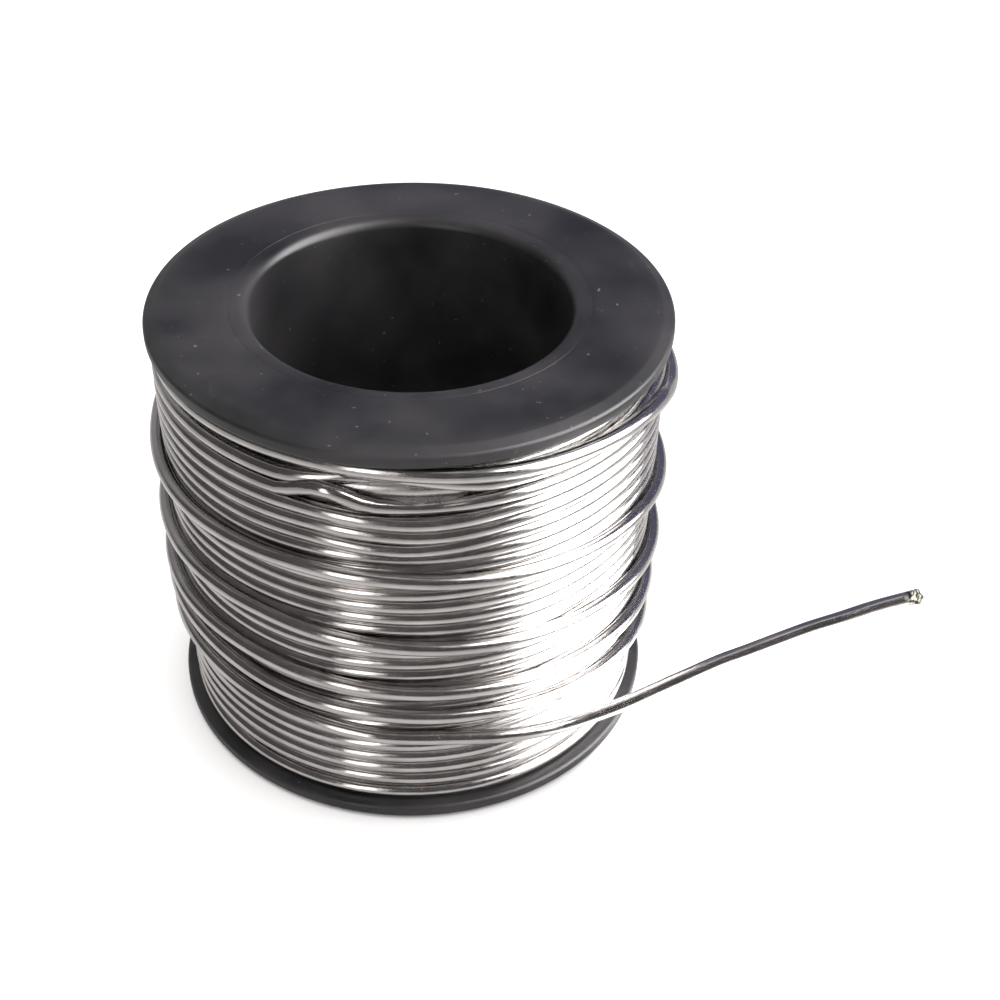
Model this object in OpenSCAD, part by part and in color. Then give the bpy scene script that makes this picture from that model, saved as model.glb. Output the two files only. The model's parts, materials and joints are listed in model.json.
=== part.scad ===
// A small reel of solder wire: two thin flanges on an open barrel, wound with six layers
// of wire, a loose outer winding and a short free end.
// Z is the reel's own axis, and the lower flange stands on Z = 0.

/* [Reel] */
// Outer diameter of both flanges
flange_d = 35; // [34:0.5:38]
// Thickness of each flange
flange_t = 1.2; // [1:0.1:1.6]
// Height of the whole reel, over both flanges
reel_h = 31.7; // [31.7:0.1:34]
// Diameter of the bore that a spindle goes through
bore_d = 21.5; // [20:0.1:21.6]
// Thickness of the barrel's wall where it meets the lower flange
barrel_wall = 0.9; // [0.9:0.05:1]
// How much thicker that wall is at the upper flange, from the mould's draft
barrel_draft = 0.35; // [0.2:0.05:0.4]
// Radius of the rounded lip at each mouth of the bore
mouth_round = 0.7; // [0.3:0.1:0.7]
// Width of the shallow bevel around the outer face of each flange
bevel_w = 0.85; // [0.5:0.05:1.2]
// Depth of that bevel at the rim
bevel_drop = 0.25; // [0.1:0.05:0.3]
// Radius of the rounding on the rim's two edges
rim_round = 0.3; // [0.1:0.05:0.3]

/* [Wire] */
// Diameter of the solder wire
wire_d = 1; // [0.9:0.05:1]
// Diameter of the flux core along the middle of the wire
core_d = 0.37; // [0.3:0.01:0.4]
// Diameter of the hole in the barrel that holds the wire's first end
start_hole_d = 1.1; // [1.1:0.05:1.3]
// Height of that hole below the upper flange
start_drop = 1.5; // [1:0.1:3]

/* [Hidden] */
$fn = 180;

flange_r = flange_d / 2;
bore_r = bore_d / 2;
upper_face = reel_h - flange_t;          // underside of the upper flange
lower_seat_r = bore_r + barrel_wall;     // barrel where it sits in the lower flange
upper_seat_r = lower_seat_r + barrel_draft;
arc_steps = 6;                           // straight steps in each rounded corner

wire_r = wire_d / 2;
core_r = core_d / 2;
nest = wire_d * sin(60);                 // radial step of a turn that lies between two others
outer_layer = 6;
skin = 0.3 * wire_d;                     // outermost full layer, from its wire centres outwards
start_z = upper_face - start_drop;
start_gap = 0.1;                         // the wire's first end stops this far behind the bore
start_side = 270;                        // and points this way around the reel
over = 1;                                // how far a cutting shape runs past a face

reel_black = [0.13, 0.13, 0.14];
bright_solder = [0.78, 0.77, 0.76];
dull_solder = [0.6, 0.6, 0.61];
rosin = [0.72, 0.5, 0.2];

// Loose outer turns, in order: [angle around the reel, height].
// They start beside the upper flange and wind down to where the free end leaves them.
LOOSE = [
    [280, 29.7], [310, 29.4], [325, 29.0], [335, 28.4], [345, 27.5], [357, 27.0], [372, 26.5],
    [400, 26.3], [440, 25.9], [480, 24.9], [520, 23.4], [545, 22.4], [562, 22.2], [575, 22.2],
    [590, 22.3], [605, 22.4], [625, 22.1], [645, 21.6], [665, 21.2], [690, 20.6], [712, 19.5],
    [760, 18.8], [810, 18.3], [860, 17.7], [900, 17.1], [925, 17.0], [940, 17.1], [955, 17.2],
    [968, 16.9], [985, 16.5], [1000, 16.1], [1015, 15.8], [1040, 15.1], [1072, 13.8], [1120, 13.5],
    [1170, 13.5], [1220, 13.4], [1260, 13.2], [1285, 13.0], [1300, 13.1], [1312, 13.1], [1330, 12.7],
    [1350, 12.3], [1370, 12.0], [1400, 11.2], [1432, 10.0], [1480, 9.7], [1540, 9.9], [1600, 10.7],
    [1640, 11.3], [1660, 11.2], [1680, 10.6], [1710, 10.0], [1730, 9.6], [1760, 8.5], [1792, 7.0],
    [1840, 6.7], [1900, 7.0], [1960, 8.0], [2000, 8.8], [2020, 8.9], [2040, 8.6], [2058, 8.1],
    [2070, 7.9]];
loose_step = 10;                         // degrees from one ring of the tube to the next

// Free end, from where it leaves the loose turns to its cut tip.
FREE = [
    [3.6, -17.1, 7.8], [5.8, -16.9, 7.7], [8.0, -16.4, 7.5], [10.2, -15.7, 7.4],
    [12.4, -15.0, 7.6], [14.6, -14.3, 8.0], [16.8, -13.5, 8.5], [19.0, -12.8, 9.1],
    [21.1, -12.1, 9.6], [23.2, -11.6, 10.1], [25.4, -11.1, 10.7], [27.5, -10.6, 11.2],
    [29.7, -10.2, 11.7], [31.8, -9.7, 12.1], [33.7, -9.4, 12.5], [35.3, -9.2, 12.8]];
cord_sides = 8;

// Radius of the barrel's outside at height z.
function barrel_r(z) =
    lower_seat_r + barrel_draft * (z - flange_t) / (upper_face - flange_t);

// Radius of the boundary between full layer k and the next one, at height z.
function layer_edge_r(k, z) =
    k == 0 ? barrel_r(z)
    : k == outer_layer ? barrel_r(z) + wire_r + (k - 1) * nest + skin
    : barrel_r(z) + wire_r + (k - 0.5) * nest;

// Corner of a profile rounded with radius r about c, from angle a to angle b.
function corner(c, r, a, b) =
    [for (i = [0:arc_steps]) let (t = a + (b - a) * i / arc_steps) c + r * [cos(t), sin(t)]];

// Centre of the loose tube at an angle along it, just outside the last full layer.
function loose_point(a) =
    let (z = lookup(a, LOOSE), r = barrel_r(z) + wire_r + outer_layer * nest)
    [r * cos(a), r * sin(a), z];

loose_first = LOOSE[0][0];
loose_last = LOOSE[len(LOOSE) - 1][0];
LOOSE_PATH = [for (a = [loose_first:loose_step:loose_last]) loose_point(a)];
ROUTE = concat(LOOSE_PATH, FREE);
joint_ring = len(LOOSE_PATH);            // ring where the loose turns end and the free end starts

// One ring of a tube about point i of the route, square to the route's direction there.
function ring(i, r) =
    let (ahead = ROUTE[min(i + 1, len(ROUTE) - 1)],
         behind = ROUTE[max(i - 1, 0)],
         along = (ahead - behind) / norm(ahead - behind),
         side = cross(along, [0, 0, 1]) / norm(cross(along, [0, 0, 1])),
         rise = cross(side, along))
    [for (k = [0:cord_sides - 1])
        let (t = (k + 0.5) * 360 / cord_sides) ROUTE[i] + r * (cos(t) * side + sin(t) * rise)];

// Four-sided faces between rings i and i + 1 of a skin whose first point is number first.
function skin_faces(first, rings, turned) =
    [for (i = [0:rings - 2], k = [0:cord_sides - 1])
        let (n = (k + 1) % cord_sides,
             a = first + i * cord_sides + k,
             b = first + i * cord_sides + n,
             c = first + (i + 1) * cord_sides + n,
             d = first + (i + 1) * cord_sides + k)
        turned ? [a, b, c, d] : [d, c, b, a]];

// Solid cord of radius r along rings i0 to i1 of the route.
module cord(i0, i1, r) {
    rings = i1 - i0 + 1;
    last = (rings - 1) * cord_sides;
    points = [for (i = [i0:i1]) each ring(i, r)];
    start_cap = [for (k = [cord_sides - 1:-1:0]) k];
    end_cap = [for (k = [0:cord_sides - 1]) last + k];
    polyhedron(points, concat(skin_faces(0, rings, true), [start_cap], [end_cap]));
}

// The same cord with a round channel of radius r_in all along its middle.
module hollow_cord(i0, i1, r, r_in) {
    rings = i1 - i0 + 1;
    inner = rings * cord_sides;
    last = (rings - 1) * cord_sides;
    points = concat([for (i = [i0:i1]) each ring(i, r)], [for (i = [i0:i1]) each ring(i, r_in)]);
    start_cap = [for (k = [0:cord_sides - 1])
        let (n = (k + 1) % cord_sides) [n, k, inner + k, inner + n]];
    end_cap = [for (k = [0:cord_sides - 1])
        let (n = (k + 1) % cord_sides) [last + k, last + n, inner + last + n, inner + last + k]];
    polyhedron(points, concat(skin_faces(0, rings, true), skin_faces(inner, rings, false),
                              start_cap, end_cap));
}

// A flange lying on Z = 0 with its outer, bevelled face up.
module flange(seat_r) {
    rotate_extrude()
        polygon(concat(
            [[seat_r, 0]],
            corner([flange_r - rim_round, rim_round], rim_round, -90, 0),
            corner([flange_r - rim_round, flange_t - bevel_drop - rim_round], rim_round, 0, 72),
            [[flange_r - bevel_w, flange_t]],
            [[seat_r, flange_t]]));
}

module upper_flange() {
    color(reel_black)
        translate([0, 0, upper_face])
            flange(upper_seat_r);
}

module lower_flange() {
    color(reel_black)
        translate([0, 0, flange_t])
            mirror([0, 0, 1])
                flange(lower_seat_r);
}

// The barrel runs through both flanges and shows as a rounded lip at each end.
module barrel() {
    lip_r = bore_r + mouth_round;
    color(reel_black)
        difference() {
            rotate_extrude()
                polygon(concat(
                    corner([lip_r, mouth_round], mouth_round, 180, 270),
                    [[lower_seat_r, 0], [lower_seat_r, flange_t]],
                    [[upper_seat_r, upper_face], [upper_seat_r, reel_h]],
                    corner([lip_r, reel_h - mouth_round], mouth_round, 90, 180)));
            start_bar(start_hole_d / 2);
        }
}

// A radial bar through one side of the barrel's wall.
module start_bar(r) {
    translate([0, 0, start_z])
        rotate([0, 0, start_side])
            rotate([0, 90, 0])
                cylinder(h = upper_seat_r + over, r = r);
}

// One full layer of turns, as a plain sleeve between the flanges.
module winding_layer(k, tint) {
    color(tint)
        rotate_extrude()
            polygon([
                [layer_edge_r(k - 1, flange_t), flange_t],
                [layer_edge_r(k, flange_t), flange_t],
                [layer_edge_r(k, upper_face), upper_face],
                [layer_edge_r(k - 1, upper_face), upper_face]]);
}

module loose_turns() {
    color(bright_solder)
        cord(0, joint_ring, wire_r);
}

module free_end() {
    color(bright_solder)
        hollow_cord(joint_ring, len(ROUTE) - 1, wire_r, core_r);
}

module flux_core() {
    color(rosin)
        cord(joint_ring, len(ROUTE) - 1, core_r);
}

// The wire's first end, pushed through the hole in the barrel's wall.
module wire_start() {
    color(dull_solder)
        difference() {
            intersection() {
                start_bar(wire_r);
                rotate_extrude()
                    polygon([[0, flange_t], [lower_seat_r, flange_t],
                             [upper_seat_r, upper_face], [0, upper_face]]);
            }
            cylinder(h = reel_h, r = bore_r + start_gap);
        }
}

upper_flange();
lower_flange();
barrel();
winding_layer(1, dull_solder);  // winding_layer_1
winding_layer(2, bright_solder);  // winding_layer_2
winding_layer(3, dull_solder);  // winding_layer_3
winding_layer(4, bright_solder);  // winding_layer_4
winding_layer(5, dull_solder);  // winding_layer_5
winding_layer(6, bright_solder);  // winding_layer_6
loose_turns();
free_end();
flux_core();
wire_start();
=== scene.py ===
"""A small reel of solder wire.

A black plastic reel, six layers of bright wire, loose outer turns and a free end.
"""
import json
import math

import bpy
import numpy as np
from mathutils import Matrix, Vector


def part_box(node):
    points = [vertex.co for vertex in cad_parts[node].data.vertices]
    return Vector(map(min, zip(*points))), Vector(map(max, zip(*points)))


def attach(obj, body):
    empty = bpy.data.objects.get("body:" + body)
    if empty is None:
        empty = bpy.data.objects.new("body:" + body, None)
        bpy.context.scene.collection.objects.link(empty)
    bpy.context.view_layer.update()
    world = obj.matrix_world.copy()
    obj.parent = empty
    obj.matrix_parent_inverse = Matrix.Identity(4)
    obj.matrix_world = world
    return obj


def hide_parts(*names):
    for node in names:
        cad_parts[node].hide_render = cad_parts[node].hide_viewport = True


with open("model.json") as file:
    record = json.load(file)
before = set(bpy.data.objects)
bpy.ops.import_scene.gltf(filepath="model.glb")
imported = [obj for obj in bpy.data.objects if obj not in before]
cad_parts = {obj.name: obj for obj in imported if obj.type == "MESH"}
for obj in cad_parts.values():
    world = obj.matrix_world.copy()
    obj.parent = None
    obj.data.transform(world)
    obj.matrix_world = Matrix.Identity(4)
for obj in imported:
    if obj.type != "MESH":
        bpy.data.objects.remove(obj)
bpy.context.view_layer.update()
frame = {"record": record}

MM = 0.001

# ---------------------------------------------------------------- sizes, from the frame
flange_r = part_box("lower_flange")[1].x
flange_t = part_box("lower_flange")[1].z
upper_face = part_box("upper_flange")[0].z
reel_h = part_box("upper_flange")[1].z
upper_seat_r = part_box("barrel")[1].x
MOUNTS = {m["name"]: m for m in frame["record"]["mounts"]}
bore_r = MOUNTS["spindle_bore"]["dims"]["r_mm"] * MM
mouth_round = (reel_h - MOUNTS["spindle_bore"]["dims"]["length_mm"] * MM) / 2
barrel_draft = 0.35 * MM
lower_seat_r = upper_seat_r - barrel_draft

wire_d = 1.0 * MM
wire_r = wire_d / 2
core_r = 0.185 * MM
nest = wire_d * math.sin(math.radians(60))  # radial step of a turn that lies between two others
OUTER_LAYER = 6
ROWS = 29  # turns in a layer that fills the reel from flange to flange
CROSS_AT = 90  # degrees round the reel where each turn steps over to the next row
CROSS_HALF = 14  # half the width of that step, in degrees
START_AT = -90  # degrees; the wire's first end is on the near side
loose_over = 0.8 * wire_d  # loose turns lie this far above the wire centres of layer 6

# Rows of layer 6, from the lowest: touching in the middle, spread out near the flanges, in mm.
LOW_ROWS = [1.6, 3.1, 4.2, 5.25]
TOUCHING = 21
HIGH_ROWS = [27.25, 28.4]
# Kinks and hollows in layer 6: [row from the top, angle, half-width in degrees, up in mm, out in mm].
KINKS = [[1, 264, 25, 0.3, -1.05], [2, 251, 11, 1.0, 0.3], [2, 273, 17, -0.6, -0.65], [3, 271, 26, -0.4, 0],
         [4, 272, 27, -0.4, 0], [5, 268, 25, -0.5, 0], [6, 268, 24, -0.35, -0.2], [7, 268, 22, -0.15, -0.1]]

# The wire's last part, in order: [angle round the reel, height in mm, lift in mm]. It lies in layer 6 at
# first, climbs on to it beside the upper flange, and winds loosely down to where the free end leaves it.
LOOSE = [
    [76, 28.4, -0.88], [82, 28.5, -0.88], [98, 29.8, -0.88], [104, 29.95, -0.88], [200, 30.0, -0.88],
    [250, 29.98, -0.88], [265, 29.9, -0.7], [290, 29.7, 0],
    [310, 29.4, 0], [325, 29.0, 0], [335, 28.4, 0], [345, 27.5, 0],
    [357, 27.0, 0], [372, 26.5, 0], [400, 26.3, 0], [440, 25.9, 0], [480, 24.9, 0],
    [520, 23.4, 0], [545, 22.4, 0], [562, 22.2, 0], [575, 22.2, 0], [590, 22.3, 0],
    [605, 22.4, 0], [625, 22.1, 0], [645, 21.6, 0], [665, 21.2, 0], [690, 20.6, 0],
    [712, 19.5, 0], [760, 18.8, 0], [810, 18.3, 0], [860, 17.7, 0], [900, 17.1, 0],
    [925, 17.0, 0], [940, 17.1, 0], [955, 17.2, 0], [968, 16.9, 0], [985, 16.5, 0],
    [1000, 16.1, 0], [1015, 15.8, 0], [1040, 15.1, 0], [1072, 13.8, 0], [1120, 13.5, 0],
    [1170, 13.5, 0], [1220, 13.4, 0], [1260, 13.2, 0], [1285, 13.0, 0], [1300, 13.1, 0],
    [1312, 13.1, 0], [1330, 12.7, 0], [1350, 12.3, 0], [1370, 12.0, 0], [1400, 11.2, 0],
    [1432, 10.0, 0], [1480, 9.7, 0], [1540, 9.9, 0], [1600, 10.7, 0], [1640, 11.3, 0],
    [1660, 11.2, 0], [1680, 10.6, 0], [1710, 10.0, 0], [1730, 9.6, 0], [1760, 8.5, 0],
    [1792, 7.0, 0], [1840, 6.7, 0], [1900, 7.0, 0], [1960, 8.0, 0], [2000, 8.8, 0],
    [2020, 8.9, 0], [2040, 8.6, 0], [2058, 8.1, 0], [2070, 7.9, 0]]
LOOSE_STEP = 10  # degrees between the points that the smooth curve of the loose turns goes through

# Free end, from where it leaves the loose turns to its cut tip, in metres.
FREE = np.array([
    [0.0036, -0.0171, 0.0078], [0.0058, -0.0169, 0.0077], [0.0080, -0.0164, 0.0075],
    [0.0102, -0.0157, 0.0074], [0.0124, -0.0150, 0.0076], [0.0146, -0.0143, 0.0080],
    [0.0168, -0.0135, 0.0085], [0.0190, -0.0128, 0.0091], [0.0211, -0.0121, 0.0096],
    [0.0232, -0.0116, 0.0101], [0.0254, -0.0111, 0.0107], [0.0275, -0.0106, 0.0112],
    [0.0297, -0.0102, 0.0117], [0.0318, -0.0097, 0.0121], [0.0337, -0.0094, 0.0125],
    [0.0353, -0.0092, 0.0128]])
ROUTE_STEP = 0.3 * MM  # distance between rings of the loose turns and the free end
CUT_SLOPE = 1.1  # how far the cut leans back, as a share of the wire's section
CUT_REACH = 3 * wire_r  # length next to the cut that the cutters squeezed


# ---------------------------------------------------------------- camera
CAMERA_LENS = 55.49
CAMERA_PLACE = (0, -88.71 * MM, 84.01 * MM)
CAMERA_TURN = -4.08  # degrees about the vertical
CAMERA_DIP = 37.98  # degrees below level
CAMERA_ROLL = 1.88  # degrees about the line of sight


def add_camera():
    """Camera at the photograph's viewing angle."""
    data = bpy.data.cameras.new("camera")
    data.sensor_width = 36
    data.lens = CAMERA_LENS
    data.clip_start = 0.005
    data.clip_end = 20
    cam = bpy.data.objects.new("camera", data)
    turn = Matrix.Rotation(math.radians(CAMERA_TURN), 4, "Z")
    tilt = Matrix.Rotation(math.radians(90 - CAMERA_DIP), 4, "X")
    roll = Matrix.Rotation(math.radians(CAMERA_ROLL), 4, "Z")
    cam.matrix_world = Matrix.Translation(CAMERA_PLACE) @ turn @ tilt @ roll
    bpy.context.scene.collection.objects.link(cam)
    bpy.context.scene.camera = cam


# ---------------------------------------------------------------- mesh helpers
def new_object(name, vertices, faces, material, uvs=None, flat=0):
    """A mesh object, smooth but for its last flat faces, with one UV pair for each face corner if given."""
    mesh = bpy.data.meshes.new(name)
    mesh.from_pydata([tuple(v) for v in vertices], [], faces)
    if uvs is not None:
        layer = mesh.uv_layers.new(name="along_wire")
        layer.data.foreach_set("uv", np.asarray(uvs, dtype=np.float32).ravel())
    mesh.materials.append(material)
    smooth = [True] * (len(faces) - flat) + [False] * flat
    mesh.polygons.foreach_set("use_smooth", smooth)
    mesh.update()
    obj = bpy.data.objects.new(name, mesh)
    bpy.context.scene.collection.objects.link(obj)
    return obj


class Route:
    """Points of a wire's centre line, with unit vectors along it, to its side and up at each point."""

    def __init__(self, points, along=None):
        self.points = points
        if along is None:
            along = np.gradient(points, axis=0)
            along /= np.linalg.norm(along, axis=1)[:, None]
        self.along = along
        self.side = np.cross(along, [0, 0, 1])
        self.side /= np.linalg.norm(self.side, axis=1)[:, None]
        self.up = np.cross(self.side, along)

    def part(self, start, end=None):
        return Route(self.points[start:end], self.along[start:end])

    def closed(self):
        """The same route with a second ring just inside each end, so that the ends shade as sharp edges."""
        step = 0.002 * MM * self.along[[0, -1]]
        points = np.insert(self.points, [1, len(self) - 1], self.points[[0, -1]] + step * [[1], [-1]], axis=0)
        return Route(points, np.insert(self.along, [1, len(self) - 1], self.along[[0, -1]], axis=0))

    def __len__(self):
        return len(self.points)


def rings_along(route, radius, sides):
    """Points of the rings of a tube, as an array of rings x sides x 3."""
    turn = 2 * math.pi * (np.arange(sides) + 0.5) / sides
    across = np.cos(turn)[None, :, None] * route.side[:, None, :]
    rise = np.sin(turn)[None, :, None] * route.up[:, None, :]
    return route.points[:, None, :] + radius * (across + rise)


def skin(rings, sides, first=0, inward=False):
    """Four-sided faces between neighbouring rings, whose points start at number first."""
    faces = []
    for i in range(rings - 1):
        for k in range(sides):
            n = (k + 1) % sides
            a, b = first + i * sides + k, first + i * sides + n
            quad = (a, a + sides, b + sides, b)
            faces.append(quad[::-1] if inward else quad)
    return faces


def skin_uvs(route, radius, sides, inward=False):
    """UVs for skin(): millimetres along the route, then millimetres round the tube."""
    steps = np.linalg.norm(np.diff(route.points, axis=0), axis=1)
    u = np.concatenate([[0], np.cumsum(steps)]) / MM
    v = np.arange(sides + 1) / sides * 2 * math.pi * radius / MM
    uvs = np.empty((len(route) - 1, sides, 4, 2))
    uvs[:, :, 0, 0] = uvs[:, :, 3, 0] = u[:-1, None]
    uvs[:, :, 1, 0] = uvs[:, :, 2, 0] = u[1:, None]
    uvs[:, :, 0, 1] = uvs[:, :, 1, 1] = v[None, :-1]
    uvs[:, :, 2, 1] = uvs[:, :, 3, 1] = v[None, 1:]
    if inward:
        uvs = uvs[:, :, ::-1]
    return uvs.reshape(-1, 2)


def caps(rings, sides):
    """The two end faces of a tube."""
    last = (rings - 1) * sides
    return [tuple(range(sides)), tuple(range(last + sides - 1, last - 1, -1))]


def tube(name, route, radius, sides, material):
    """A closed solid tube of round section along a route."""
    route = route.closed()
    rings = rings_along(route, radius, sides)
    faces = skin(len(route), sides) + caps(len(route), sides)
    uvs = np.concatenate([skin_uvs(route, radius, sides), np.zeros((2 * sides, 2))])
    return new_object(name, rings.reshape(-1, 3), faces, material, uvs, flat=2)


def lathe(name, profile, segments, material, shape=None):
    """A closed profile of (radius, height) points turned about Z. shape moves the finished points."""
    profile = np.asarray(profile)
    turn = 2 * math.pi * np.arange(segments) / segments
    ring = np.empty((segments, len(profile), 3))
    ring[:, :, 0] = np.cos(turn)[:, None] * profile[None, :, 0]
    ring[:, :, 1] = np.sin(turn)[:, None] * profile[None, :, 0]
    ring[:, :, 2] = profile[None, :, 1]
    points = ring.reshape(-1, 3)
    if shape is not None:
        points = shape(points)
    n = len(profile)
    faces = []
    for i in range(segments):
        here, there = i * n, (i + 1) % segments * n
        for k in range(n):
            m = (k + 1) % n
            faces.append((here + k, there + k, there + m, here + m))
    return new_object(name, points, faces, material)


def arc(centre, radius, start, end, steps=8):
    """Points on an arc, as (radius, height) pairs, with angles in degrees."""
    turn = np.radians(np.linspace(start, end, steps + 1))
    return [(centre[0] + radius * math.cos(t), centre[1] + radius * math.sin(t)) for t in turn]


def line(start, end, steps):
    """Points from start to end, leaving both out."""
    return [tuple(np.add(start, np.subtract(end, start) * i / steps)) for i in range(1, steps)]


def catmull(points, step):
    """A smooth curve with a point about every step metres, and the number on it of each point given."""
    ends = np.vstack([2 * points[0] - points[1], points, 2 * points[-1] - points[-2]])
    out, places = [], []
    for i in range(1, len(ends) - 2):
        p0, p1, p2, p3 = ends[i - 1 : i + 3]
        count = max(1, round(float(np.linalg.norm(p2 - p1)) / step))
        t = (np.arange(count) / count)[:, None]
        places.append(len(out))
        bend = 2 * p0 - 5 * p1 + 4 * p2 - p3
        curl = 3 * p1 - p0 - 3 * p2 + p3
        out.extend((2 * p1 + (p2 - p0) * t + bend * t**2 + curl * t**3) / 2)
    places.append(len(out))
    out.append(points[-1])
    return np.array(out), places


# ---------------------------------------------------------------- the wire's route
def barrel_r(z):
    """Radius of the barrel's outside at height z."""
    return lower_seat_r + barrel_draft * (z - flange_t) / (upper_face - flange_t)


def row_heights(layer):
    """Heights of one layer's turns in the order they are wound: down, then up in the grooves, and so on."""
    top, bottom = upper_face - wire_r, flange_t + wire_r
    half_pitch = (top - bottom) / (ROWS - 1) / 2
    if layer == OUTER_LAYER:
        middle = [LOW_ROWS[-1] + k * wire_d / MM for k in range(1, TOUCHING + 1)]
        return np.array(LOW_ROWS + middle + HIGH_ROWS) * MM
    if layer % 2 == 0:
        return np.linspace(bottom + half_pitch, top - half_pitch, ROWS - 1)
    heights = np.linspace(top, bottom, ROWS)
    return heights[1:] if layer == 1 else heights


def wound_turns():
    """For every full turn, from the first to the last: its layer and its height."""
    turns = []
    for layer in range(1, OUTER_LAYER + 1):
        turns.extend((layer, z) for z in row_heights(layer))
    return turns


TURNS = wound_turns()


def turn_end(number):
    """Angle at the middle of the crossover that ends a turn."""
    return CROSS_AT + 360 * number


def unevenness(angle, z, phase):
    """Slow waves of a hand-fed winding, between -1 and 1, that neighbouring turns share."""
    a, h = np.radians(angle), z / MM
    waves = np.sin(a + 0.31 * h + phase) + np.sin(2 * a - 0.47 * h + 2.3 * phase)
    return (waves + 0.6 * np.sin(5 * a + 0.83 * h + 4.1 * phase)) / 2.6


def own_wander(angle, phase):
    """Faster waves that each turn has to itself, between -1 and 1."""
    a = np.radians(angle)
    return (np.sin(1.37 * a + phase) + np.sin(3.71 * a + 2 * phase) + np.sin(7.13 * a)) / 3


def sunk(z):
    """How much closer to the barrel the outermost turns lie near the lower flange."""
    return 0.17 * MM * np.clip((13 * MM - z) / (6 * MM), 0, 1)


def kinked(angle, z, r):
    """z and r with layer 6's kinks and hollows."""
    for row, at, half, up, out in KINKS:
        centre = at + 360 * (len(TURNS) - row - 1)
        share = np.clip(1 - np.abs(angle - centre) / half, 0, 1)
        share = share * share * (3 - 2 * share)
        z, r = z + up * MM * share, r + out * MM * share
    return z, r


def winding_point(angle):
    """Points of the tight winding at angles in degrees, counted on from the wire's first end."""
    xs, heights, offsets = [], [], []
    for number, (layer, z) in enumerate(TURNS):
        xs += [turn_end(number - 1) + CROSS_HALF, turn_end(number) - CROSS_HALF]
        heights += [z, z]
        offsets += [wire_r + (layer - 1) * nest] * 2
    z = np.interp(angle, xs, heights)
    offset = np.interp(angle, xs, offsets)
    outer = np.clip((offset - wire_r) / nest - (OUTER_LAYER - 2), 0, 1)
    r = barrel_r(z) + offset
    z = z + outer * 0.11 * MM * unevenness(angle, z, 0.7)
    z = z + outer * 0.03 * MM * own_wander(angle, 1.9)
    r = r + outer * (0.05 * MM * unevenness(angle, z, 2.9) - 0.08 * MM - sunk(z))
    z, r = kinked(angle, z, r)
    z = np.clip(z, flange_t + wire_r, upper_face - wire_r)
    a = np.radians(angle)
    return np.stack([r * np.cos(a), r * np.sin(a), z], axis=1)


def layer_route(layer, step):
    """The part of the wire's route that lies in one full layer."""
    numbers = [i for i, (k, _) in enumerate(TURNS) if k == layer]
    start = START_AT if layer == 1 else turn_end(numbers[0] - 1) - CROSS_HALF
    end = turn_end(numbers[-1]) - CROSS_HALF
    count = round((end - start) / step)
    return Route(winding_point(np.linspace(start, end, count + 1)))


def loose_controls():
    """Points of the loose turns, from where the wire climbs out of the last full turn."""
    table = np.array(LOOSE, dtype=float)
    angle = np.arange(LOOSE[0][0], LOOSE[-1][0] + 1, LOOSE_STEP, dtype=float)
    z = np.interp(angle, table[:, 0], table[:, 1]) * MM
    lift = np.interp(angle, table[:, 0], table[:, 2]) * MM
    r = barrel_r(z) + wire_r + (OUTER_LAYER - 1) * nest + loose_over + lift
    r = r + 0.05 * MM * own_wander(angle, 0.4) - sunk(z)
    a = np.radians(angle)
    laid = np.stack([r * np.cos(a), r * np.sin(a), z], axis=1)
    last = turn_end(len(TURNS) - 1) - CROSS_HALF
    return np.vstack([winding_point(np.array([last, last + 3])), laid[1:]])


# ---------------------------------------------------------------- materials
def shader(name):
    """A new material. Returns it, its node tree and its Principled BSDF."""
    material = bpy.data.materials.new(name)
    material.use_nodes = True
    tree = material.node_tree
    return material, tree, tree.nodes["Principled BSDF"]


def noise(tree, vector, scale, detail=3.0, roughness=0.5):
    """A noise texture's factor, read at vector."""
    node = tree.nodes.new("ShaderNodeTexNoise")
    node.inputs["Scale"].default_value = scale
    node.inputs["Detail"].default_value = detail
    node.inputs["Roughness"].default_value = roughness
    tree.links.new(vector, node.inputs["Vector"])
    return node.outputs["Fac"]


def span(tree, value, low, high, to_low, to_high):
    """value moved from the range low to high into the range to_low to to_high, and held there."""
    node = tree.nodes.new("ShaderNodeMapRange")
    node.inputs["From Min"].default_value = low
    node.inputs["From Max"].default_value = high
    node.inputs["To Min"].default_value = to_low
    node.inputs["To Max"].default_value = to_high
    tree.links.new(value, node.inputs["Value"])
    return node.outputs["Result"]


def math_node(tree, operation, a, b=None):
    """A math node on sockets or numbers."""
    node = tree.nodes.new("ShaderNodeMath")
    node.operation = operation
    for socket, value in zip(node.inputs, (a, b)):
        if isinstance(value, (int, float)):
            socket.default_value = value
        elif value is not None:
            tree.links.new(value, socket)
    return node.outputs[0]


def mix_colour(tree, factor, a, b):
    """A blend of two colours, each a socket or a tuple of three numbers."""
    node = tree.nodes.new("ShaderNodeMix")
    node.data_type = "RGBA"
    tree.links.new(factor, node.inputs["Factor"])
    for name, value in (("A", a), ("B", b)):
        socket = [s for s in node.inputs if s.name == name and s.type == "RGBA"][0]
        if isinstance(value, tuple):
            socket.default_value = (*value, 1)
        else:
            tree.links.new(value, socket)
    return [s for s in node.outputs if s.type == "RGBA"][0]


def stretched(tree, vector, scale):
    """vector with its axes scaled."""
    node = tree.nodes.new("ShaderNodeMapping")
    node.inputs["Scale"].default_value = scale
    tree.links.new(vector, node.inputs["Vector"])
    return node.outputs["Vector"]


def bump(tree, height, strength, distance, below=None):
    """A bump node, on top of another if one is given."""
    node = tree.nodes.new("ShaderNodeBump")
    node.inputs["Strength"].default_value = strength
    node.inputs["Distance"].default_value = distance
    tree.links.new(height, node.inputs["Height"])
    if below is not None:
        tree.links.new(below, node.inputs["Normal"])
    return node.outputs["Normal"]


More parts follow.
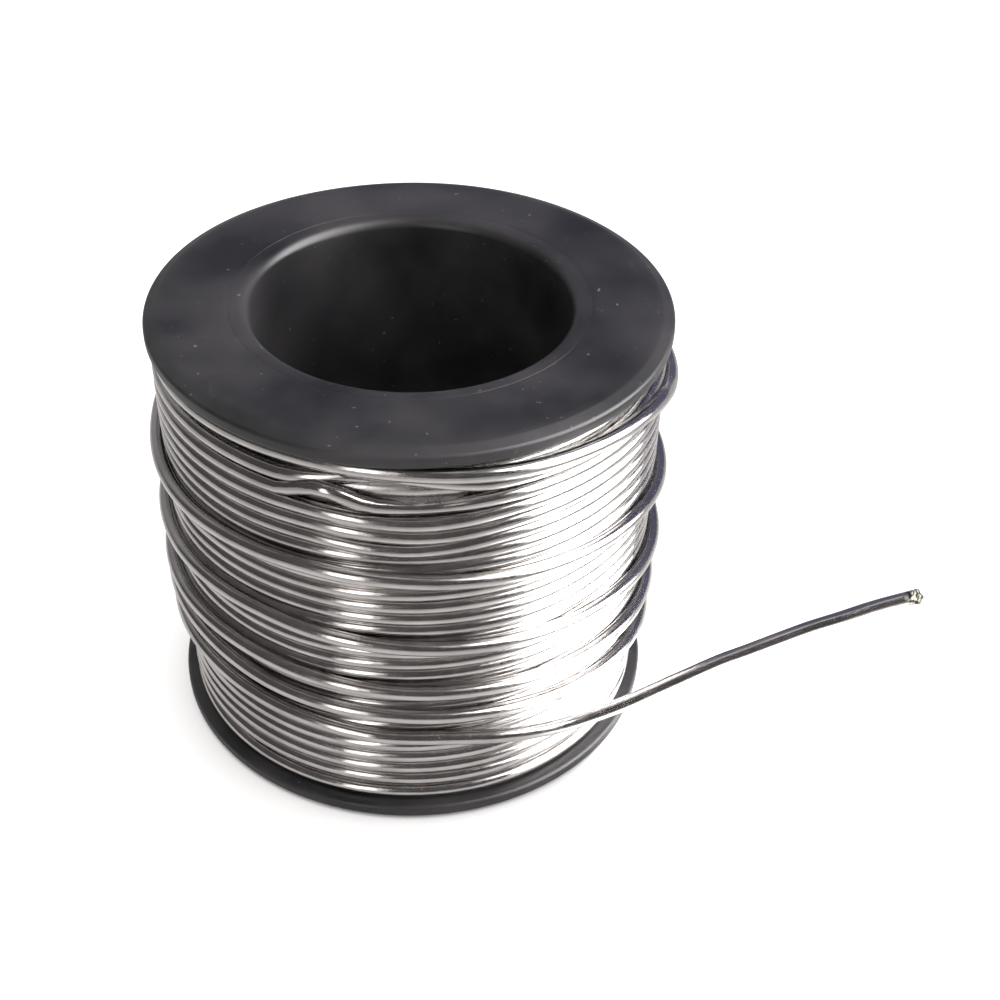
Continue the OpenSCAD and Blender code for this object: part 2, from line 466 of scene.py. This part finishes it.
def solder(name, bright, dull, low_rough, high_rough):
    """Drawn solder wire: fine lines along it, soft dents, a thin uneven oxide, and a near-black, flecked,
    rougher end at the cut.
    """
    material, tree, bsdf = shader(name)
    coords = tree.nodes.new("ShaderNodeTexCoord")
    place = coords.outputs["Object"]
    along = tree.nodes.new("ShaderNodeUVMap")
    along.uv_map = "along_wire"
    bsdf.inputs["Metallic"].default_value = 1
    oxide = noise(tree, place, 260, 4, 0.6)
    colour = mix_colour(tree, span(tree, oxide, 0.38, 0.66, 0, 1), bright, dull)
    # The metal within about a millimetre of the cut end is coloured near black with paler flecks, and made
    # rougher.
    cut = tree.nodes.new("ShaderNodeVectorMath")
    cut.operation = "DISTANCE"
    cut.inputs[1].default_value = FREE[-1]
    tree.links.new(place, cut.inputs[0])
    torn = span(tree, cut.outputs["Value"], 0.9 * MM, 1.3 * MM, 1, 0)
    flecks = span(tree, noise(tree, place, 3200, 2, 0.5), 0.45, 0.6, 0, 1)
    colour = mix_colour(tree, torn, colour, mix_colour(tree, flecks, (0.02, 0.02, 0.018), (0.3, 0.29, 0.24)))
    tree.links.new(colour, bsdf.inputs["Base Color"])
    lines = noise(tree, stretched(tree, along.outputs["UV"], (0.25, 22, 1)), 1, 3, 0.6)
    rough = noise(tree, place, 900, 3, 0.6)
    rough = math_node(tree, "ADD", math_node(tree, "MULTIPLY", rough, 0.6),
                      math_node(tree, "MULTIPLY", lines, 0.4))
    rough = span(tree, rough, 0.3, 0.7, low_rough, high_rough)
    rough = math_node(tree, "ADD", rough, math_node(tree, "MULTIPLY", torn, 0.3))
    tree.links.new(rough, bsdf.inputs["Roughness"])
    normal = bump(tree, lines, 0.25, 0.02 * MM)
    dents = noise(tree, place, 700, 2, 0.4)
    normal = bump(tree, dents, 0.3, 0.06 * MM, normal)
    tree.links.new(normal, bsdf.inputs["Normal"])
    return material


def reel_plastic():
    """Black moulded plastic: satin skin with fine grain, faint flow marks, scuffs and dust."""
    material, tree, bsdf = shader("reel_plastic")
    coords = tree.nodes.new("ShaderNodeTexCoord")
    place = coords.outputs["Object"]
    flow = noise(tree, place, 130, 4, 0.55)
    colour = mix_colour(tree, span(tree, flow, 0.35, 0.7, 0, 1),
                        (0.008, 0.008, 0.009), (0.033, 0.031, 0.033))
    scuffs = noise(tree, stretched(tree, place, (700, 140, 400)), 1, 5, 0.7)
    worn = span(tree, scuffs, 0.68, 0.8, 0, 0.35)
    colour = mix_colour(tree, worn, colour, (0.13, 0.128, 0.13))
    dust = noise(tree, place, 2600, 1, 0.3)
    colour = mix_colour(tree, span(tree, dust, 0.775, 0.8, 0, 0.35), colour, (0.3, 0.3, 0.31))
    tree.links.new(colour, bsdf.inputs["Base Color"])
    tree.links.new(span(tree, flow, 0.3, 0.7, 0.34, 0.5), bsdf.inputs["Roughness"])
    grain = noise(tree, place, 5200, 3, 0.6)
    normal = bump(tree, grain, 0.12, 0.02 * MM)
    normal = bump(tree, flow, 0.25, 0.12 * MM, normal)
    normal = bump(tree, scuffs, 0.12, 0.03 * MM, normal)
    tree.links.new(normal, bsdf.inputs["Normal"])
    return material


def rosin():
    """Amber flux, glassy, with paler bubbles."""
    material, tree, bsdf = shader("flux")
    coords = tree.nodes.new("ShaderNodeTexCoord")
    cloud = noise(tree, coords.outputs["Object"], 5000, 3, 0.5)
    colour = mix_colour(tree, span(tree, cloud, 0.35, 0.65, 0, 1), (0.33, 0.16, 0.03), (0.75, 0.52, 0.2))
    tree.links.new(colour, bsdf.inputs["Base Color"])
    bsdf.inputs["Roughness"].default_value = 0.22
    tree.links.new(bump(tree, cloud, 0.3, 0.03 * MM), bsdf.inputs["Normal"])
    return material


BRIGHT = solder("solder_bright", (0.57, 0.555, 0.545), (0.44, 0.43, 0.42), 0.10, 0.20)
# solder_inner is the same wire with darker colours, which are painted shade for the deeper layers that lie in
# shadow, and a rougher finish.
SHADED_INNER = solder("solder_inner", (0.52, 0.51, 0.505), (0.40, 0.39, 0.38), 0.2, 0.36)
PLASTIC = reel_plastic()
FLUX = rosin()


# ---------------------------------------------------------------- camera and free end come first
add_camera()

points, places = catmull(np.vstack([loose_controls(), FREE]), ROUTE_STEP)
whole = Route(points)
leaves_at = places[-len(FREE)]
loose_route = whole.part(0, leaves_at + 1)
free_route = whole.part(leaves_at)


def leaned(rings, route):
    """rings near the end squeezed and drawn back on their upper, near side, as cutters leave a soft wire."""
    steps = np.linalg.norm(np.diff(route.points, axis=0), axis=1)
    left = np.concatenate([np.cumsum(steps[::-1])[::-1], [0]])
    share = np.clip(1 - left / CUT_REACH, 0, 1) ** 2
    out = rings - route.points[:, None, :]
    rise = np.einsum("ijk,ik->ij", out, route.up)
    reach = np.einsum("ijk,ik->ij", out, route.side)
    torn = 1 + 0.16 * share[:, None] * np.sin(5 * np.arctan2(rise, reach) + 0.8)
    rise, reach = rise * torn * (1 + 0.28 * share[:, None]), reach * torn * (1 - 0.3 * share[:, None])
    back = CUT_SLOPE * share[:, None] * (0.5 * rise + 0.9 * reach)
    moved = rise[:, :, None] * route.up[:, None, :] + reach[:, :, None] * route.side[:, None, :]
    return route.points[:, None, :] + moved - back[:, :, None] * route.along[:, None, :]


def make_free_end(route):
    """The stiff free end: a tube with the flux channel along it and an oblique, slightly rounded cut."""
    sides, inner_sides = 32, 16
    route = route.closed()
    rings = leaned(rings_along(route, wire_r, sides), route)
    rings[-1] = route.points[-1] + (rings[-1] - route.points[-1]) * 0.9
    channel = leaned(rings_along(route, core_r, inner_sides), route)
    points = np.vstack([rings.reshape(-1, 3), channel.reshape(-1, 3)])
    inner = len(route) * sides
    faces = skin(len(route), sides) + skin(len(route), inner_sides, inner, inward=True)
    uvs = [skin_uvs(route, wire_r, sides), skin_uvs(route, core_r, inner_sides, inward=True)]
    ends = []
    for ring, flip in ((0, True), (len(route) - 1, False)):
        a, b = ring * sides, inner + ring * inner_sides
        for k in range(inner_sides):
            n = (k + 1) % inner_sides
            face = (b + k, a + 2 * k, a + 2 * k + 1, a + (2 * k + 2) % sides, b + n)
            ends.append(face if flip else face[::-1])
            uvs.append(np.zeros((len(face), 2)))
    return new_object("free_end_wire", points, faces + ends, BRIGHT, np.concatenate(uvs), flat=len(ends))


def make_flux(route):
    """The rosin inside the free end, a little short of the cut."""
    sides = 16
    rings = leaned(rings_along(route, core_r, sides), route)[:-1]
    faces = skin(len(rings), sides) + caps(len(rings), sides)
    return new_object("flux_filling", rings.reshape(-1, 3), faces, FLUX, flat=2)


free_end = make_free_end(free_route)
flux_core = make_flux(free_route)
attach(free_end, "root")
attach(flux_core, "root")
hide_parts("free_end")
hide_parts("flux_core")


# ---------------------------------------------------------------- the wound wire
def place(piece, node, slot):
    """A Blender piece that stands for one CAD node."""
    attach(piece, "root")
    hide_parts(node)


# The inner layers and the first end use the darker solder copy, whose colour is painted shade.
for layer in range(1, OUTER_LAYER):
    piece = tube(f"layer_{layer}_wire", layer_route(layer, 7.5), wire_r, 10, SHADED_INNER)
    place(piece, f"winding_layer_{layer}", "solder_inner")

place(tube("layer_6_wire", layer_route(OUTER_LAYER, 3), wire_r, 24, BRIGHT),
      "winding_layer_6", "solder_bright")
place(tube("loose_wire", loose_route, wire_r, 32, BRIGHT), "loose_turns", "solder_bright")

start_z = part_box("wire_start")[0].z + wire_r
ends = np.linspace(bore_r + 0.1 * MM, upper_seat_r, 9)
stub = Route(np.array([[0, -y, start_z] for y in ends]))
place(tube("first_end_wire", stub, wire_r, 24, SHADED_INNER), "wire_start", "solder_inner")


# ---------------------------------------------------------------- the reel
def flange_profile(seat_r):
    """A flange lying on height 0 with its outer, bevelled face up."""
    rim, edge, bevel_w, bevel_drop = 0.28 * MM, 0.03 * MM, 0.85 * MM, 0.25 * MM
    shoulder = flange_t - bevel_drop - rim
    points = [(seat_r, 0)] + line((seat_r, 0), (flange_r - rim, 0), 10)
    points += arc((flange_r - rim, rim), rim, -90, 0)
    points += arc((flange_r - rim, shoulder), rim, 0, 70)
    bevel_start = points[-1]
    points += line(bevel_start, (flange_r - bevel_w, flange_t), 5)
    points += [(flange_r - bevel_w, flange_t)]
    points += line((flange_r - bevel_w, flange_t), (seat_r + edge, flange_t), 10)
    points += arc((seat_r + edge, flange_t - edge), edge, 90, 180, 4)
    return points


def warped(amount, phase):
    """A shape function that gives a flange the slight wave of a thin moulding."""
    def shape(points):
        turn = np.arctan2(points[:, 1], points[:, 0])
        radius = np.hypot(points[:, 0], points[:, 1])
        share = np.clip((radius - upper_seat_r) / (flange_r - upper_seat_r), 0, 1) ** 2
        wave = np.sin(2 * turn + phase) + 0.4 * np.sin(5 * turn + 2 * phase)
        points = points.copy()
        points[:, 2] += amount * share * wave
        return points
    return shape


def make_flanges():
    upper = [(r, upper_face + z) for r, z in flange_profile(upper_seat_r)]
    lower = [(r, flange_t - z) for r, z in flange_profile(lower_seat_r)][::-1]
    piece = lathe("upper_flange_moulding", upper[::-1], 360, PLASTIC, warped(0.05 * MM, 0.8))
    place(piece, "upper_flange", "reel_plastic")
    place(lathe("lower_flange_moulding", lower[::-1], 360, PLASTIC), "lower_flange", "reel_plastic")


def barrel_profile():
    """The barrel's wall, with a rounded lip at each mouth."""
    lip_r, edge = bore_r + mouth_round, 0.03 * MM
    points = arc((lip_r, mouth_round), mouth_round, 180, 270, 12)
    points += arc((lower_seat_r - edge, edge), edge, -90, 0, 4)
    points += [(lower_seat_r, flange_t), (upper_seat_r, upper_face)]
    points += arc((upper_seat_r - edge, reel_h - edge), edge, 0, 90, 4)
    points += arc((lip_r, reel_h - mouth_round), mouth_round, 90, 180, 12)
    points += line((bore_r, reel_h - mouth_round), (bore_r, mouth_round), 24)
    return points


def make_barrel():
    piece = lathe("barrel_moulding", barrel_profile()[::-1], 288, PLASTIC)
    place(piece, "barrel", "reel_plastic")


make_flanges()
make_barrel()


# ---------------------------------------------------------------- floor and light
def facing(tree, direction, azimuth, half, soft):
    """1 where a direction's azimuth is within half degrees of azimuth, falling to 0 over soft degrees."""
    flat = tree.nodes.new("ShaderNodeVectorMath")
    flat.operation = "MULTIPLY"
    flat.inputs[1].default_value = (1, 1, 0)
    tree.links.new(direction, flat.inputs[0])
    unit = tree.nodes.new("ShaderNodeVectorMath")
    unit.operation = "NORMALIZE"
    tree.links.new(flat.outputs["Vector"], unit.inputs[0])
    dot = tree.nodes.new("ShaderNodeVectorMath")
    dot.operation = "DOT_PRODUCT"
    dot.inputs[1].default_value = (math.cos(math.radians(azimuth)), math.sin(math.radians(azimuth)), 0)
    tree.links.new(unit.outputs["Vector"], dot.inputs[0])
    edge = math.cos(math.radians(half + soft))
    return span(tree, dot.outputs["Value"], edge, math.cos(math.radians(half)), 0, 1)


def between(tree, up, low, high, soft):
    """1 where a direction's elevation is from low to high degrees, falling to 0 over soft degrees."""
    rise = span(tree, up, math.sin(math.radians(low - soft)), math.sin(math.radians(low)), 0, 1)
    fall = span(tree, up, math.sin(math.radians(high)), math.sin(math.radians(high + soft)), 1, 0)
    return math_node(tree, "MULTIPLY", rise, fall)


def add_world():
    """A dim room with a window and lamps, which only mirrors show.

    Dull surfaces are lit by an even light instead, and the camera sees plain white.
    """
    world = bpy.data.worlds.new("studio")
    bpy.context.scene.world = world
    world.use_nodes = True
    tree = world.node_tree
    direction = tree.nodes.new("ShaderNodeTexCoord").outputs["Generated"]
    parts = tree.nodes.new("ShaderNodeSeparateXYZ")
    tree.links.new(direction, parts.inputs[0])
    up = parts.outputs["Z"]

    colour = mix_colour(tree, span(tree, up, 0, 0.8, 0, 1), (0.092, 0.082, 0.083), (0.125, 0.115, 0.117))
    areas = [
        # bluish wall behind to the right, and a paler one behind to the left
        (facing(tree, direction, 65, 38, 15), (0.16, 0.155, 0.23)),
        (facing(tree, direction, 128, 16, 14), (0.35, 0.34, 0.35)),
        # narrow lamp at the front left
        (math_node(tree, "MULTIPLY", facing(tree, direction, 246, 4, 2.5), between(tree, up, -8, 38, 6)),
         (4.8, 4.6, 4.5)),
        # wide window to the right
        (math_node(tree, "MULTIPLY", facing(tree, direction, -11, 26, 5), between(tree, up, -5, 60, 8)),
         (13.0, 12.7, 12.7)),
        # soft light overhead
        (between(tree, up, 66, 95, 8), (0.9, 0.88, 0.88)),
    ]
    for share, tint in areas:
        colour = mix_colour(tree, share, colour, tint)
    path = tree.nodes.new("ShaderNodeLightPath")
    colour = mix_colour(tree, path.outputs["Is Diffuse Ray"], colour, (0.95, 0.93, 0.92))
    colour = mix_colour(tree, path.outputs["Is Camera Ray"], colour, (1.0, 1.0, 1.0))
    tree.links.new(colour, tree.nodes["Background"].inputs["Color"])
    world.cycles.sampling_method = "NONE"


def add_floor():
    """A plain table top: white to the camera, greyer to all else, and greyer still further out."""
    material, tree, bsdf = shader("floor")
    length = tree.nodes.new("ShaderNodeVectorMath")
    length.operation = "LENGTH"
    tree.links.new(tree.nodes.new("ShaderNodeTexCoord").outputs["Object"], length.inputs[0])
    far = span(tree, length.outputs["Value"], 35 * MM, 90 * MM, 0, 1)
    colour = mix_colour(tree, far, (0.58, 0.57, 0.565), (0.32, 0.315, 0.31))
    path = tree.nodes.new("ShaderNodeLightPath")
    colour = mix_colour(tree, path.outputs["Is Camera Ray"], colour, (0.95, 0.95, 0.95))
    tree.links.new(colour, bsdf.inputs["Base Color"])
    bsdf.inputs["Roughness"].default_value = 0.9
    bsdf.inputs["Specular IOR Level"].default_value = 0
    size = 3
    corners = [(-size, -size, 0), (size, -size, 0), (size, size, 0), (-size, size, 0)]
    new_object("floor", corners, [(0, 1, 2, 3)], material)


def add_fill():
    """A very soft light from above and a small pool of light to the right, neither of them mirrored."""
    data = bpy.data.lights.new("fill", "SUN")
    data.angle = math.radians(100)
    data.energy = 2.9
    lamp = bpy.data.objects.new("fill", data)
    lamp.matrix_world = Matrix.Rotation(math.radians(25), 4, "Z") @ Matrix.Rotation(math.radians(20), 4, "Y")
    pool = bpy.data.lights.new("pool", "AREA")
    pool.size = 24 * MM
    pool.spread = math.radians(60)
    pool.energy = 0.03
    low = bpy.data.objects.new("pool", pool)
    low.matrix_world = Matrix.Translation((31 * MM, -16 * MM, 15 * MM))
    for light in (lamp, low):
        light.visible_glossy = False
        light.visible_camera = False
        bpy.context.scene.collection.objects.link(light)


add_world()
add_floor()
add_fill()
bpy.context.scene.view_settings.view_transform = "Standard"
